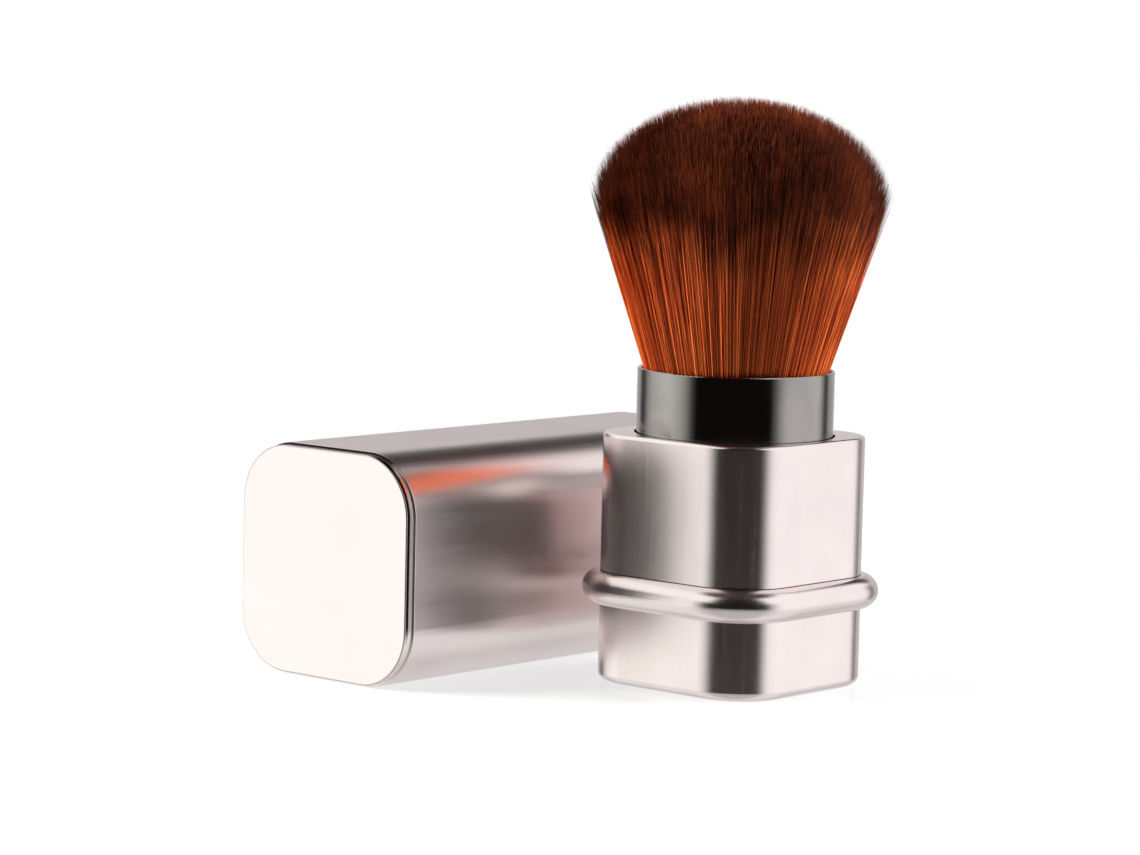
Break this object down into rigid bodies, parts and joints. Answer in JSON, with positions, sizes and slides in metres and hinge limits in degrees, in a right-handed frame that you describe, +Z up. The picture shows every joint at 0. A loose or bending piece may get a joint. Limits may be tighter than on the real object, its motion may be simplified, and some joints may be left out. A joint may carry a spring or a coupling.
{
  "type": "retractable makeup brush",
  "caption": "Square metal makeup brush whose sleeve slides up a round ferrule to gather a domed tuft of bristles, with its square cap lying beside it.",
  "frame": {"origin": "centre of the underside of the base, on the surface that it stands on", "axes": "+Z up the brush to the tips of the bristles, X and Y along the sides of the square body, and the cap lies at -X along Y with its closed end towards -Y"},
  "size_m": [0.075, 0.0729, 0.082],
  "materials": {
    "satin_aluminium": "fine-blasted and anodised pale champagne pink",
    "polished_aluminium": "polished and anodised pale champagne",
    "gunmetal": "polished, plated near black",
    "black_abs": "moulded, satin",
    "steel": "plain turned slug",
    "epoxy": "clear amber potting glue",
    "bristle_fibre": "fine synthetic hair, orange brown with dark brown tips"
  },
  "bodies": {
    "handle": {"base_shell": "satin_aluminium", "base_insert": "black_abs", "base_weight": "steel", "collar_ring": "satin_aluminium", "guide_core": "black_abs", "ferrule": "gunmetal", "tuft_glue": "epoxy", "bristles": "bristle_fibre"},
    "sleeve": {"sleeve_shell": "satin_aluminium", "sleeve_liner": "black_abs"},
    "cap": {"cap_tube": "satin_aluminium", "cap_end_plate": "polished_aluminium", "cap_end_plug": "black_abs"}
  },
  "joints": [
    {"name": "sleeve_slide", "type": "slide", "parent": "handle", "child": "sleeve", "axis": [0, 0, 1], "range_m": [0, 0.015], "deforming": ["bristles"]},
    {"name": "cap_slide", "type": "slide", "parent": "handle", "child": "cap", "axis": [-1, 0, 0], "range_m": [0, 0.03]}
  ]
}
